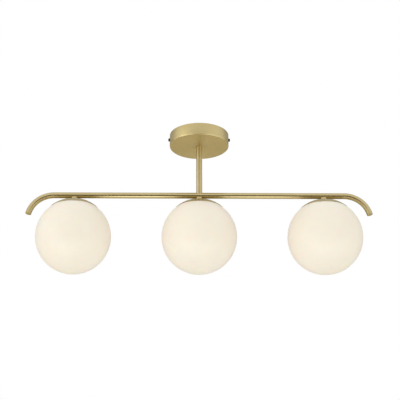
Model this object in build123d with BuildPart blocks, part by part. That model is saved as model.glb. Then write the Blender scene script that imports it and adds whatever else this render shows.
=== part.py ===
from build123d import *
import os
from math import cos, pi, radians, sin, sqrt

# A ceiling light: three opal glass globes hang from one curved brass tube.
# Millimetres. The origin is on the ceiling, at the middle of the fixing strap.
# +Z is up, +X runs along the tube, and -Y is the side that the room sees.

# Tube, stem and lamp positions
tube_diameter = 12.0
tube_wall = 1.0
bar_drop = 134.0
lamp_spacing = 250.0
bend_offset = 40.5
bend_radius = 52.0
bend_angle = 76.0
braze_gap = 0.05

# Tube ends
plug_rim_height = 1.2
plug_length = 3.5
plug_clearance = 0.15
plug_edge = 0.5

# Canopy
canopy_diameter = 120.0
canopy_height = 25.0
canopy_sheet = 1.2
canopy_edge = 1.6
ceiling_gap = 0.3

# Strap on the ceiling
strap_width = 24.0
strap_sheet = 2.0
strap_bend = 3.0
ear_depth = 17.0
ear_corner = 5.0
slot_spacing = 60.0
slot_length = 12.0
slot_width = 5.5
bush_bore = 9.0
bush_wall = 2.0
bush_rim_width = 2.5
bush_rim_height = 2.5

# Side screws that clamp the canopy on the strap
clamp_drop = 10.0
clamp_diameter = 4.0
clamp_head_diameter = 6.6
clamp_head_height = 3.0
clamp_head_edge = 0.5
clamp_nut_width = 7.0
clamp_nut_thickness = 3.2
ear_gap = 1.6
tip_gap = 0.2

# Earth screw
earth_offset = 14.0
earth_diameter = 4.0
earth_head_diameter = 8.0
earth_head_height = 2.4

# Hollow threaded pipe and its nuts
nipple_diameter = 10.0
nipple_bore = 8.0
thread_clearance = 0.05
hole_clearance = 0.2
nut_width = 14.0
nut_thickness = 3.0
washer_diameter = 18.0
washer_thickness = 0.8
nipple_end = 1.6
stem_nipple_depth = 14.0

# Globe
globe_diameter = 150.0
globe_wall = 3.0
mouth_diameter = 60.0
mouth_land = 8.6
collar_wall = 3.0
collar_depth = 12.0
glass_edge = 0.5

# Dish cap over the globe, and the boss between it and the tube
cap_gap = 1.1
cap_sheet = 1.2
cap_rim_angle = 42.0
cap_seat_diameter = 18.0
boss_diameter = 13.0
boss_height = 6.2
boss_saddle = 1.5
boss_edge = 0.5

# Threaded gallery that the globe screws on, and its seal
gallery_sheet = 1.2
gallery_thread_gap = 0.3
gallery_ring_wall = 1.5
gallery_ring_height = 11.5
gallery_flange_width = 4.8
seal_thickness = 1.3
seal_width = 5.0
seal_gap = 0.1

# Lamp holder
holder_cap_diameter = 28.0
holder_cap_height = 16.0
holder_cap_shoulder = 8.0
holder_wall = 1.6
holder_hub_height = 9.0
holder_diameter = 26.0
holder_waist_diameter = 24.0
holder_collar_height = 9.0
holder_step = 1.0
holder_height = 32.0
holder_floor = 5.5
holder_bore = 17.0
shell_diameter = 16.4
shell_wall = 0.6
shell_height = 17.0
contact_diameter = 6.0
contact_height = 1.4

# Bulb
bulb_diameter = 45.0
bulb_length = 78.0
bulb_wall = 1.0
bulb_neck_diameter = 17.0
bulb_neck_height = 4.0
bulb_shoulder_angle = 36.0
base_diameter = 13.9
base_height = 25.0
base_tip_diameter = 5.0
base_taper_height = 4.0
socket_gap = 0.5

# Terminal block
block_width = 34.0
block_depth = 16.0
block_height = 9.0
block_corner = 1.0
tower_diameter = 7.0
tower_height = 5.0
pole_spacing = 11.0
tower_spacing = 8.0
block_offset = 26.0
entry_diameter = 3.6
entry_height = 6.0
entry_depth = 3.0
lug_length = 8.0
lug_height = 4.0
stud_diameter = 4.8
stud_height = 2.0
stud_clearance = 0.2
terminal_screw_diameter = 3.0
terminal_screw_length = 5.0
terminal_screw_recess = 1.0
fixing_screw_diameter = 2.6
fixing_head_diameter = 5.0
fixing_head_height = 2.0

# Wires inside
lead_diameter = 2.8
lead_bend = 8.0
lead_loop = 5.0
lead_reach = 8.0
lead_top_gap = 6.5
lead_layer = 3.6
lead_spread = 0.6

# Places that follow from the sizes
tube_radius = tube_diameter / 2
tube_bore = tube_radius - tube_wall
globe_radius = globe_diameter / 2
mouth_edge_radius = mouth_diameter / 2 + mouth_land
mouth_height = sqrt(globe_radius**2 - mouth_edge_radius**2)
cap_inner_radius = globe_radius + cap_gap
cap_radius = cap_inner_radius + cap_sheet
cap_top = sqrt(cap_radius**2 - (cap_seat_diameter / 2) ** 2)
globe_z = -(bar_drop + tube_radius + boss_height + cap_top)
canopy_top = -ceiling_gap
canopy_bottom = canopy_top - canopy_height
canopy_floor = canopy_bottom + canopy_sheet
canopy_inner_radius = canopy_diameter / 2 - canopy_sheet
clamp_nut_seat = sqrt(canopy_inner_radius**2 - (clamp_nut_width / 2) ** 2 * 4 / 3)
ear_face = clamp_nut_seat - clamp_nut_thickness - ear_gap
gallery_top = cap_top - cap_sheet
gallery_floor = mouth_height + seal_thickness + 2 * seal_gap
gallery_radius = mouth_diameter / 2 - gallery_thread_gap
nut_bottom = gallery_top - gallery_sheet - nut_thickness
holder_top = nut_bottom - holder_cap_height
holder_bottom = holder_top - holder_height
bulb_rim = holder_bottom - socket_gap
bulb_tip = bulb_rim + base_height
bulb_bottom = bulb_tip - bulb_length
bulb_centre = bulb_bottom + bulb_diameter / 2
nipple_hole = nipple_diameter / 2 + hole_clearance
nipple_thread = nipple_diameter / 2 + thread_clearance
lamp_places = {"left": -lamp_spacing, "middle": 0.0, "right": lamp_spacing}

os.makedirs("parts", exist_ok=True)


def write(piece, name):
    """Name a finished piece and write it to its own file."""
    piece.part.label = name
    export_step(piece.part, f"parts/{name}.step")


def upright(x, z):
    """Return the upright plane through an axis at x, so that a profile is drawn as radius and height."""
    return Plane(origin=(x, 0, z), x_dir=(1, 0, 0), z_dir=(0, -1, 0))


def lamp_axis(x):
    """Return a lamp's upright axis."""
    return Axis((x, 0, 0), (0, 0, 1))


# Fixing strap: a folded steel strip with two slots and a hole for the supply cable
with BuildPart() as ceiling_bracket:
    with BuildSketch(Plane.XZ) as strap_side:
        Rectangle(2 * ear_face, ear_depth, align=(Align.CENTER, Align.MAX))
        fillet(strap_side.vertices().group_by(Axis.Y)[-1], strap_bend)
        with Locations((0, -strap_sheet)):
            Rectangle(
                2 * (ear_face - strap_sheet),
                ear_depth,
                align=(Align.CENTER, Align.MAX),
                mode=Mode.SUBTRACT,
            )
        inner_corners = strap_side.vertices().filter_by_position(
            Axis.Y, -strap_sheet - 0.01, -strap_sheet + 0.01
        )
        fillet(inner_corners, strap_bend - strap_sheet)
    extrude(amount=strap_width / 2, both=True)
    ear_edges = ceiling_bracket.edges().filter_by(Axis.X).group_by(Axis.Z)[0]
    fillet(ear_edges, ear_corner)
    with BuildSketch(Plane.XY):
        with Locations((-slot_spacing / 2, 0), (slot_spacing / 2, 0)):
            SlotOverall(slot_length, slot_width)
        Circle(bush_bore / 2 + bush_wall + hole_clearance)
        with Locations((earth_offset, 0)):
            Circle(earth_diameter / 2 + thread_clearance)
    extrude(amount=-strap_sheet, mode=Mode.SUBTRACT)
write(ceiling_bracket, "ceiling_bracket")

# Bush that guards the supply cable at the strap's middle hole
with BuildPart() as cable_bush:
    with BuildSketch(upright(0, 0)):
        with BuildLine():
            Polyline(
                (bush_bore / 2, -ceiling_gap),
                (bush_bore / 2 + bush_wall, -ceiling_gap),
                (bush_bore / 2 + bush_wall, -strap_sheet),
                (bush_bore / 2 + bush_wall + bush_rim_width, -strap_sheet),
                (bush_bore / 2 + bush_wall + bush_rim_width, -strap_sheet - bush_rim_height / 2),
                (bush_bore / 2 + bush_wall, -strap_sheet - bush_rim_height),
                (bush_bore / 2, -strap_sheet - bush_rim_height),
                close=True,
            )
        make_face()
    revolve(axis=Axis.Z)
write(cable_bush, "cable_bush")

# Earth screw in the strap
with BuildPart() as earth_screw:
    with BuildSketch(Plane.XY.offset(-ceiling_gap)):
        with Locations((earth_offset, 0)):
            Circle(earth_diameter / 2)
    extrude(amount=-(strap_sheet - ceiling_gap))
    with BuildSketch(Plane.XY.offset(-strap_sheet)):
        with Locations((earth_offset, 0)):
            Circle(earth_head_diameter / 2)
    extrude(amount=-earth_head_height)
    chamfer(earth_screw.edges().group_by(Axis.Z)[0], earth_head_height / 3)
write(earth_screw, "earth_screw")

# Canopy: a deep drawn pan, open at the ceiling
stud_x = block_width / 2 + lug_length / 2
with BuildPart() as canopy:
    with BuildSketch(Plane.XY.offset(canopy_bottom)):
        Circle(canopy_diameter / 2)
    extrude(amount=canopy_height)
    fillet(canopy.edges().group_by(Axis.Z)[0], canopy_edge)
    offset(amount=-canopy_sheet, openings=canopy.faces().sort_by(Axis.Z)[-1])
    with BuildSketch(Plane.XY.offset(canopy_floor)):
        with Locations((stud_x, block_offset)):
            Circle(stud_diameter / 2)
    extrude(amount=stud_height)
    with BuildSketch(Plane.XY.offset(canopy_floor)):
        with Locations((stud_x, block_offset)):
            Circle(fixing_screw_diameter / 2 + thread_clearance)
    extrude(amount=stud_height, mode=Mode.SUBTRACT)
    with BuildSketch(Plane.XY.offset(canopy_bottom)):
        Circle(nipple_hole)
    extrude(amount=canopy_sheet, mode=Mode.SUBTRACT)
    with BuildSketch(Plane.YZ):
        with Locations((0, -clamp_drop)):
            Circle(clamp_diameter / 2 + hole_clearance)
    extrude(amount=canopy_diameter / 2, both=True, mode=Mode.SUBTRACT)
write(canopy, "canopy")

# Nuts welded inside the canopy wall
with BuildPart() as clamp_nuts:
    for side in (-1, 1):
        with BuildSketch(Plane(origin=(side * clamp_nut_seat, 0, -clamp_drop), z_dir=(-side, 0, 0))):
            RegularPolygon(clamp_nut_width / 2, 6, major_radius=False)
            Circle(clamp_diameter / 2 + thread_clearance, mode=Mode.SUBTRACT)
        extrude(amount=clamp_nut_thickness)
write(clamp_nuts, "clamp_nuts")

# Side screws: their tips press on the ears of the strap
for side, name in ((-1, "clamp_screw_left"), (1, "clamp_screw_right")):
    head_seat = canopy_diameter / 2
    with BuildPart() as clamp_screw:
        with BuildSketch(Plane(origin=(side * (ear_face + tip_gap), 0, -clamp_drop), z_dir=(side, 0, 0))):
            Circle(clamp_diameter / 2)
        extrude(amount=head_seat - ear_face - tip_gap)
        with BuildSketch(Plane(origin=(side * head_seat, 0, -clamp_drop), z_dir=(side, 0, 0))):
            Circle(clamp_head_diameter / 2)
        extrude(amount=clamp_head_height)
        chamfer(clamp_screw.edges().group_by(Axis.X)[0 if side < 0 else -1], clamp_head_edge)
    write(clamp_screw, name)

# Stem: its lower end is cut to sit on the tube, its upper end is bored for the threaded pipe
with BuildPart() as stem:
    with BuildSketch(Plane.XY.offset(canopy_bottom)):
        Circle(tube_radius)
        Circle(tube_bore, mode=Mode.SUBTRACT)
    extrude(amount=-(bar_drop + canopy_bottom))
    with BuildSketch(Plane.XY.offset(canopy_bottom)):
        Circle(nipple_thread)
    extrude(amount=-stem_nipple_depth, mode=Mode.SUBTRACT)
    with BuildSketch(Plane.YZ):
        with Locations((0, -bar_drop)):
            Circle(tube_radius + braze_gap)
    extrude(amount=tube_diameter, both=True, mode=Mode.SUBTRACT)
write(stem, "stem")

# Threaded pipe that joins the stem to the canopy, with its washer and nut
nipple_top = canopy_floor + washer_thickness + nut_thickness + nipple_end
with BuildPart() as stem_nipple:
    with BuildSketch(Plane.XY.offset(nipple_top)):
        Circle(nipple_diameter / 2)
        Circle(nipple_bore / 2, mode=Mode.SUBTRACT)
    extrude(amount=canopy_bottom - stem_nipple_depth - nipple_top)
write(stem_nipple, "stem_nipple")

with BuildPart() as stem_washer:
    with BuildSketch(Plane.XY.offset(canopy_floor)):
        Circle(washer_diameter / 2)
        Circle(nipple_hole, mode=Mode.SUBTRACT)
    extrude(amount=washer_thickness)
write(stem_washer, "stem_washer")

with BuildPart() as stem_nut:
    with BuildSketch(Plane.XY.offset(canopy_floor + washer_thickness)):
        RegularPolygon(nut_width / 2, 6, major_radius=False)
        Circle(nipple_thread, mode=Mode.SUBTRACT)
    extrude(amount=nut_thickness)
write(stem_nut, "stem_nut")

# Terminal block: a moulded strip with two screw towers for each lamp, and a lug at one end
block_middle = (0, block_offset)
pole_places = [(step * pole_spacing, 0) for step in (-1, 0, 1)]
tower_places = [(x, y * tower_spacing / 2) for x, _ in pole_places for y in (-1, 1)]
with BuildPart() as terminal_block:
    with BuildSketch(Plane.XY.offset(canopy_floor)):
        with Locations(block_middle):
            Rectangle(block_width, block_depth)
    extrude(amount=block_height)
    fillet(terminal_block.edges().filter_by(Axis.Z), block_corner)
    with BuildSketch(Plane.XY.offset(canopy_floor + block_height)):
        with Locations(block_middle):
            with Locations(*tower_places):
                Circle(tower_diameter / 2)
    extrude(amount=tower_height)
    with BuildSketch(Plane.XY.offset(canopy_floor)):
        with Locations((stud_x - lug_length / 4, block_offset)):
            SlotOverall(1.5 * lug_length, lug_length)
    extrude(amount=lug_height)
    with BuildSketch(Plane.XY.offset(canopy_floor)):
        with Locations((stud_x, block_offset)):
            Circle(stud_diameter / 2 + stud_clearance)
    extrude(amount=stud_height + stud_clearance, mode=Mode.SUBTRACT)
    with BuildSketch(Plane.XY.offset(canopy_floor)):
        with Locations((stud_x, block_offset)):
            Circle(fixing_screw_diameter / 2 + hole_clearance)
    extrude(amount=lug_height, mode=Mode.SUBTRACT)
    with BuildSketch(Plane.XY.offset(canopy_floor + entry_height)):
        with Locations(block_middle):
            with Locations(*tower_places):
                Circle(terminal_screw_diameter / 2 + hole_clearance)
    extrude(amount=block_height + tower_height, mode=Mode.SUBTRACT)
    with BuildSketch(Plane.XZ.offset(-block_offset + block_depth / 2)):
        with Locations(*[(x, canopy_floor + entry_height) for x, _ in pole_places]):
            Circle(entry_diameter / 2)
    extrude(amount=-block_depth, mode=Mode.SUBTRACT)
write(terminal_block, "terminal_block")

with BuildPart() as terminal_screws:
    screw_top = canopy_floor + block_height + tower_height - terminal_screw_recess
    with BuildSketch(Plane.XY.offset(screw_top)):
        with Locations(block_middle):
            with Locations(*tower_places):
                Circle(terminal_screw_diameter / 2)
    extrude(amount=-terminal_screw_length)
write(terminal_screws, "terminal_screws")

with BuildPart() as terminal_fixing_screw:
    with BuildSketch(Plane.XY.offset(canopy_floor + thread_clearance)):
        with Locations((stud_x, block_offset)):
            Circle(fixing_screw_diameter / 2)
    extrude(amount=lug_height - thread_clearance)
    with BuildSketch(Plane.XY.offset(canopy_floor + lug_height)):
        with Locations((stud_x, block_offset)):
            Circle(fixing_head_diameter / 2)
    extrude(amount=fixing_head_height)
write(terminal_fixing_screw, "terminal_fixing_screw")

# Curved tube: straight in the middle, bent down at both ends, with holes for the wires
straight_half = lamp_spacing + bend_offset
with BuildLine(Plane.XZ) as bar_route:
    bend_centre_z = -bar_drop - bend_radius
    left_bend = CenterArc((-straight_half, bend_centre_z), bend_radius, 90 + bend_angle, -bend_angle)
    middle_run = Line(left_bend @ 1, (straight_half, -bar_drop))
    right_bend = CenterArc((straight_half, bend_centre_z), bend_radius, 90, -bend_angle)
left_end = bar_route.wires()[0] @ 0
left_heading = bar_route.wires()[0] % 0
right_end = bar_route.wires()[0] @ 1
right_heading = bar_route.wires()[0] % 1
with BuildPart() as bar:
    with BuildSketch(Plane(origin=left_end, x_dir=(0, 1, 0), z_dir=left_heading)):
        Circle(tube_radius)
        Circle(tube_bore, mode=Mode.SUBTRACT)
    sweep(path=bar_route.wires()[0])
    with BuildSketch(Plane.XY.offset(-bar_drop)):
        Circle(tube_bore - hole_clearance)
    extrude(amount=tube_diameter, mode=Mode.SUBTRACT)
    with BuildSketch(Plane.XY.offset(-bar_drop)):
        with Locations(*[(x, 0) for x in lamp_places.values()]):
            Circle(nipple_bore / 2 + hole_clearance)
    extrude(amount=-tube_diameter, mode=Mode.SUBTRACT)
write(bar, "bar")

# Plugs that close the tube's ends: a rim as wide as the tube, and a shank in its bore
for name, end, outward in (
    ("end_plug_left", left_end, -left_heading),
    ("end_plug_right", right_end, right_heading),
):
    with BuildPart() as end_plug:
        with BuildSketch(Plane(origin=end, x_dir=(0, 1, 0), z_dir=outward)):
            Circle(tube_radius)
        extrude(amount=plug_rim_height)
        rim_edge = end_plug.faces().sort_by(Axis(end, outward))[-1].edges()
        fillet(rim_edge, plug_edge)
        with BuildSketch(Plane(origin=end, x_dir=(0, 1, 0), z_dir=outward)):
            Circle(tube_bore - plug_clearance)
        extrude(amount=-plug_length)
    write(end_plug, name)

# Hollow threaded pipes that carry the lamps, and the nuts that hold cap and gallery on them
nipple_upper = globe_z + cap_top + boss_height - boss_saddle / 2
nipple_lower = globe_z + nut_bottom - holder_hub_height + nipple_end
with BuildPart() as lamp_nipples:
    with BuildSketch(Plane.XY.offset(nipple_upper)):
        with Locations(*[(x, 0) for x in lamp_places.values()]):
            Circle(nipple_diameter / 2)
            Circle(nipple_bore / 2, mode=Mode.SUBTRACT)
    extrude(amount=nipple_lower - nipple_upper)
write(lamp_nipples, "lamp_nipples")

with BuildPart() as lamp_nuts:
    with BuildSketch(Plane.XY.offset(globe_z + nut_bottom)):
        with Locations(*[(x, 0) for x in lamp_places.values()]):
            RegularPolygon(nut_width / 2, 6, major_radius=False)
            Circle(nipple_thread, mode=Mode.SUBTRACT)
    extrude(amount=nut_thickness)
write(lamp_nuts, "lamp_nuts")


def make_boss(side, x):
    """Turn the boss between tube and cap, cut to sit on the tube."""
    with BuildPart() as boss:
        with BuildSketch(Plane.XY.offset(globe_z + cap_top)):
            with Locations((x, 0)):
                Circle(boss_diameter / 2)
        extrude(amount=boss_height + boss_saddle)
        chamfer(boss.edges().group_by(Axis.Z)[0], boss_edge)
        with BuildSketch(Plane.YZ):
            with Locations((0, -bar_drop)):
                Circle(tube_radius + braze_gap)
        extrude(amount=2 * lamp_spacing, both=True, mode=Mode.SUBTRACT)
        with BuildSketch(Plane.XY.offset(globe_z + cap_top)):
            with Locations((x, 0)):
                Circle(nipple_thread)
        extrude(amount=boss_height + boss_saddle, mode=Mode.SUBTRACT)
    write(boss, f"boss_{side}")


def make_cap(side, x):
    """Spin the dish cap: a thin shell that follows the globe, flat where the boss sits on it."""
    middle_radius = (cap_radius + cap_inner_radius) / 2
    rim = radians(cap_rim_angle)
    outer_seat = cap_seat_diameter / 2
    inner_seat = sqrt(cap_inner_radius**2 - gallery_top**2)
    with BuildPart() as cap:
        with BuildSketch(upright(x, globe_z)):
            with BuildLine():
                top = Line((nipple_hole, cap_top), (outer_seat, cap_top))
                outside = RadiusArc(
                    top @ 1,
                    (cap_radius * sin(rim), cap_radius * cos(rim)),
                    cap_radius,
                )
                rolled_edge = ThreePointArc(
                    outside @ 1,
                    (
                        middle_radius * sin(rim) + cap_sheet / 2 * cos(rim),
                        middle_radius * cos(rim) - cap_sheet / 2 * sin(rim),
                    ),
                    (cap_inner_radius * sin(rim), cap_inner_radius * cos(rim)),
                )
                inside = RadiusArc(rolled_edge @ 1, (inner_seat, gallery_top), -cap_inner_radius)
                bottom = Line(inside @ 1, (nipple_hole, gallery_top))
                Line(bottom @ 1, top @ 0)
            make_face()
        revolve(axis=lamp_axis(x))
    write(cap, f"cap_{side}")


def make_gallery(side, x):
    """Turn the gallery: a cone clamped under the cap, a flange for the seal and a ring for the thread."""
    flange_radius = gallery_radius + gallery_flange_width
    flange_top = gallery_floor + gallery_sheet
    hub_radius = nut_width / sqrt(3) + hole_clearance
    ring_inner = gallery_radius - gallery_ring_wall
    fall = (gallery_top - flange_top) / (flange_radius - hub_radius)
    with BuildPart() as gallery:
        with BuildSketch(upright(x, globe_z)):
            with BuildLine():
                Polyline(
                    (nipple_hole, gallery_top),
                    (hub_radius, gallery_top),
                    (flange_radius, flange_top),
                    (flange_radius, gallery_floor),
                    (gallery_radius, gallery_floor),
                    (gallery_radius, gallery_floor - gallery_ring_height),
                    (ring_inner, gallery_floor - gallery_ring_height),
                    (ring_inner, gallery_top - gallery_sheet - fall * (ring_inner - hub_radius)),
                    (hub_radius, gallery_top - gallery_sheet),
                    (nipple_hole, gallery_top - gallery_sheet),
                    close=True,
                )
            make_face()
        revolve(axis=lamp_axis(x))
    write(gallery, f"gallery_{side}")


def make_seal(side, x):
    """Cut the flat silicone ring between the gallery's flange and the ground mouth of the glass."""
    with BuildPart() as seal:
        with BuildSketch(Plane.XY.offset(globe_z + mouth_height + seal_gap)):
            with Locations((x, 0)):
                Circle(gallery_radius + gallery_thread_gap + seal_width)
                Circle(gallery_radius + gallery_thread_gap, mode=Mode.SUBTRACT)
        extrude(amount=seal_thickness)
    write(seal, f"seal_{side}")


def make_globe(side, x):
    """Blow the opal globe: a ball with a flat ground mouth and a threaded collar turned inwards."""
    inner_radius = globe_radius - globe_wall
    collar_inner = mouth_diameter / 2
    collar_outer = collar_inner + collar_wall
    shoulder = mouth_height - globe_wall
    with BuildPart() as globe:
        with BuildSketch(upright(x, globe_z)):
            with BuildLine():
                mouth = Line(
                    (collar_inner, mouth_height),
                    (mouth_edge_radius, mouth_height),
                )
                outside = ThreePointArc(mouth @ 1, (globe_radius, 0), (0, -globe_radius))
                pole = Line(outside @ 1, (0, -inner_radius))
                inside = ThreePointArc(
                    pole @ 1,
                    (inner_radius, 0),
                    (sqrt(inner_radius**2 - shoulder**2), shoulder),
                )
                Polyline(
                    inside @ 1,
                    (collar_outer, shoulder),
                    (collar_outer, mouth_height - collar_depth),
                    (collar_inner, mouth_height - collar_depth),
                    mouth @ 0,
                )
            make_face()
        revolve(axis=lamp_axis(x))
        rim_edges = globe.edges().filter_by(GeomType.CIRCLE).group_by(Axis.Z)
        chamfer(rim_edges[-1], glass_edge)
    write(globe, f"globe_{side}")


def make_holder(side, x):
    """Mould the two halves of the lamp holder, and press in its threaded shell and middle contact."""
    cap_outer = holder_cap_diameter / 2
    cap_inside = cap_outer - holder_wall
    hub = nipple_diameter / 2 + holder_wall
    with BuildPart() as holder_cap:
        with BuildSketch(upright(x, globe_z)):
            with BuildLine():
                Polyline(
                    (nipple_thread, nut_bottom),
                    (holder_cap_shoulder, nut_bottom),
                    (cap_outer, nut_bottom - (cap_outer - holder_cap_shoulder)),
                    (cap_outer, holder_top),
                    (cap_inside, holder_top),
                    (cap_inside, nut_bottom - (cap_outer - holder_cap_shoulder)),
                    (hub + holder_wall, nut_bottom - holder_wall),
                    (hub, nut_bottom - holder_hub_height),
                    (nipple_thread, nut_bottom - holder_hub_height),
                    close=True,
                )
            make_face()
        revolve(axis=lamp_axis(x))
    write(holder_cap, f"holder_cap_{side}")

    with BuildPart() as holder_body:
        with BuildSketch(upright(x, globe_z)):
            with BuildLine():
                Polyline(
                    (0, holder_top),
                    (holder_diameter / 2, holder_top),
                    (holder_diameter / 2, holder_top - holder_collar_height),
                    (holder_waist_diameter / 2, holder_top - holder_collar_height - holder_step),
                    (holder_waist_diameter / 2, holder_bottom),
                    (holder_bore / 2, holder_bottom),
                    (holder_bore / 2, holder_top - holder_floor),
                    (0, holder_top - holder_floor),
                    close=True,
                )
            make_face()
        revolve(axis=lamp_axis(x))
    write(holder_body, f"holder_body_{side}")

    with BuildPart() as holder_contacts:
        with BuildSketch(Plane.XY.offset(globe_z + holder_top - holder_floor)):
            with Locations((x, 0)):
                Circle(shell_diameter / 2)
                Circle(shell_diameter / 2 - shell_wall, mode=Mode.SUBTRACT)
        extrude(amount=-shell_height)
        with BuildSketch(Plane.XY.offset(globe_z + holder_top - holder_floor)):
            with Locations((x, 0)):
                Circle(contact_diameter / 2)
        extrude(amount=-contact_height)
    write(holder_contacts, f"holder_contacts_{side}")


def make_bulb(side, x):
    """Make the bulb: a screw base, and a golf-ball envelope whose neck tapers straight into the ball."""
    ball = bulb_diameter / 2
    neck = bulb_neck_diameter / 2
    neck_end = bulb_rim - bulb_neck_height
    turn = radians(bulb_shoulder_angle)
    touch = (ball * cos(turn), bulb_centre + ball * sin(turn))
    with BuildPart() as bulb_base:
        with BuildSketch(upright(x, globe_z)):
            with BuildLine():
                Polyline(
                    (0, bulb_rim),
                    (base_diameter / 2, bulb_rim),
                    (base_diameter / 2, bulb_tip - base_taper_height),
                    (base_tip_diameter / 2, bulb_tip),
                    (0, bulb_tip),
                    close=True,
                )
            make_face()
        revolve(axis=lamp_axis(x))
    write(bulb_base, f"bulb_base_{side}")

    inner_ball = ball - bulb_wall
    neck_inside = neck - bulb_wall
    inner_touch = (inner_ball * cos(turn), bulb_centre + inner_ball * sin(turn))
    with BuildPart() as bulb_glass:
        with BuildSketch(upright(x, globe_z)):
            with BuildLine():
                shoulder = Polyline(
                    (base_diameter / 2 - bulb_wall, bulb_rim),
                    (base_diameter / 2, bulb_rim),
                    (neck, neck_end),
                    touch,
                )
                outside = ThreePointArc(
                    shoulder @ 1,
                    (ball * cos(turn / 2 - radians(45)), bulb_centre + ball * sin(turn / 2 - radians(45))),
                    (0, bulb_bottom),
                )
                pole = Line(outside @ 1, (0, bulb_bottom + bulb_wall))
                inside = ThreePointArc(
                    pole @ 1,
                    (
                        inner_ball * cos(turn / 2 - radians(45)),
                        bulb_centre + inner_ball * sin(turn / 2 - radians(45)),
                    ),
                    inner_touch,
                )
                Polyline(inside @ 1, (neck_inside, neck_end), shoulder @ 0)
            make_face()
        revolve(axis=lamp_axis(x))
    write(bulb_glass, f"bulb_glass_{side}")


def make_lead(side, x, start, pole_x):
    """Lay a lamp's wire from the terminal block, down the stem and along the tube to its holder."""
    in_stem_x, in_stem_y = start
    loop_z = nipple_top + lead_top_gap + (lead_layer if x == 0 else 0)
    entry_z = canopy_floor + entry_height
    entry_y = block_offset - block_depth / 2
    end_z = globe_z + holder_top
    points = [
        (pole_x, entry_y + entry_depth, entry_z),
        (pole_x, entry_y - lead_loop, entry_z),
        (pole_x * lead_spread, lead_reach, loop_z),
        (in_stem_x, in_stem_y, loop_z),
    ]
    bends = [lead_loop, lead_loop, lead_loop]
    if x == 0:
        points.append((in_stem_x, in_stem_y, end_z))
    else:
        points.append((in_stem_x, in_stem_y, -bar_drop))
        points.append((x, in_stem_y, -bar_drop))
        points.append((x, in_stem_y, end_z))
        bends += [lead_bend, lead_bend]
    with BuildLine() as lead_route:
        FilletPolyline(*points, radius=bends)
    route = lead_route.wires()[0]
    with BuildPart() as lead:
        with BuildSketch(Plane(origin=route @ 0, z_dir=route % 0)):
            Circle(lead_diameter / 2)
        sweep(path=route)
    section = pi * lead_diameter**2 / 4
    ratio = lead.part.volume / section / route.length
    print(f"lead_{side}: length {route.length:.1f}, volume ratio {ratio:.4f}")
    write(lead, f"lead_{side}")


wire_places = {"left": (-1.9, 0.9), "middle": (0.0, -1.7), "right": (1.9, 0.9)}
for place, (side, x) in enumerate(lamp_places.items()):
    make_boss(side, x)
    make_cap(side, x)
    make_gallery(side, x)
    make_seal(side, x)
    make_globe(side, x)
    make_holder(side, x)
    make_bulb(side, x)
    make_lead(side, x, wire_places[side], pole_places[place][0])
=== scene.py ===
from math import cos, pi, radians, sin, sqrt

import bpy
from mathutils import Matrix, Vector


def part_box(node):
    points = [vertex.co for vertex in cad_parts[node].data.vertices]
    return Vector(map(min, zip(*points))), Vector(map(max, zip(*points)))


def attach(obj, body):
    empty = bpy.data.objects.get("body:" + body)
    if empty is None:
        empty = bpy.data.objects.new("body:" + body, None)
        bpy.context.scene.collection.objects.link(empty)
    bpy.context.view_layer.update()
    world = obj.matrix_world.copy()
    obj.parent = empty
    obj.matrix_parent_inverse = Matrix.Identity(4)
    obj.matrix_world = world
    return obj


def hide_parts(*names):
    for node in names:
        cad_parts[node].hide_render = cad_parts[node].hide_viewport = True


# Three opal glass globes under spun brass caps, on a curved brass tube that hangs from a round canopy.
# Metres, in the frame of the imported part: the ceiling is z = 0, +X runs along the tube.
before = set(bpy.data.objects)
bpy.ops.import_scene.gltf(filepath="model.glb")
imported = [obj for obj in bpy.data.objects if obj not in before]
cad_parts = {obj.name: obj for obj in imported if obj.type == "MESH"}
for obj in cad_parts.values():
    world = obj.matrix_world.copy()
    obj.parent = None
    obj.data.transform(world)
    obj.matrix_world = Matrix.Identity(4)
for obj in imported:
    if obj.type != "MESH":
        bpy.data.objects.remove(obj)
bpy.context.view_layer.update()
MM = 0.001
SIDES = ("left", "middle", "right")


def span(node):
    """Return a node's lowest and highest corner and its middle."""
    low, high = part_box(node)
    return low, high, (low + high) / 2


# Sizes and places read from the frame
LAMP_X = {side: span(f"boss_{side}")[2].x for side in SIDES}
canopy_low, canopy_high, _ = span("canopy")
CANOPY_RADIUS = (canopy_high.x - canopy_low.x) / 2
CANOPY_TOP = canopy_high.z
CANOPY_BOTTOM = canopy_low.z
stem_low, stem_high, _ = span("stem")
TUBE_RADIUS = (stem_high.x - stem_low.x) / 2
STEM_TOP = stem_high.z
BAR_Z = span("bar")[1].z - TUBE_RADIUS
boss_low, boss_high, _ = span("boss_middle")
BOSS_RADIUS = (boss_high.x - boss_low.x) / 2
BOSS_TOP = boss_high.z
BOSS_BOTTOM = boss_low.z
CAP_TOP = span("cap_middle")[1].z
globe_low, globe_high, _ = span("globe_middle")
GLOBE_RADIUS = (globe_high.y - globe_low.y) / 2
GLOBE_Z = globe_low.z + GLOBE_RADIUS
MOUTH_Z = globe_high.z
GALLERY_BOTTOM = span("gallery_middle")[0].z
base_low, base_high, _ = span("bulb_base_middle")
BASE_RADIUS = (base_high.x - base_low.x) / 2
BASE_BOTTOM = base_low.z
BASE_TIP = base_high.z
clamp_low, clamp_high, clamp_centre = span("clamp_screw_right")
CLAMP_HEAD_RADIUS = (clamp_high.y - clamp_low.y) / 2
CLAMP_Z = clamp_centre.z

# Canopy: its sheet and rounded lower edge, and the small round that every edge of thin sheet has
CANOPY_SHEET = 1.2 * MM
CANOPY_EDGE = 1.6 * MM
SHEET_EDGE = 0.25 * MM

# Side screws
CLAMP_HEAD = 3.0 * MM
CLAMP_DOME = 1.7 * MM
CLAMP_SHANK = 2.0 * MM
CLAMP_CLEARANCE = 0.2 * MM
CLAMP_EDGE = 0.6 * MM
SOCKET_RADIUS = 1.45 * MM
SOCKET_DEPTH = 1.6 * MM

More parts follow.
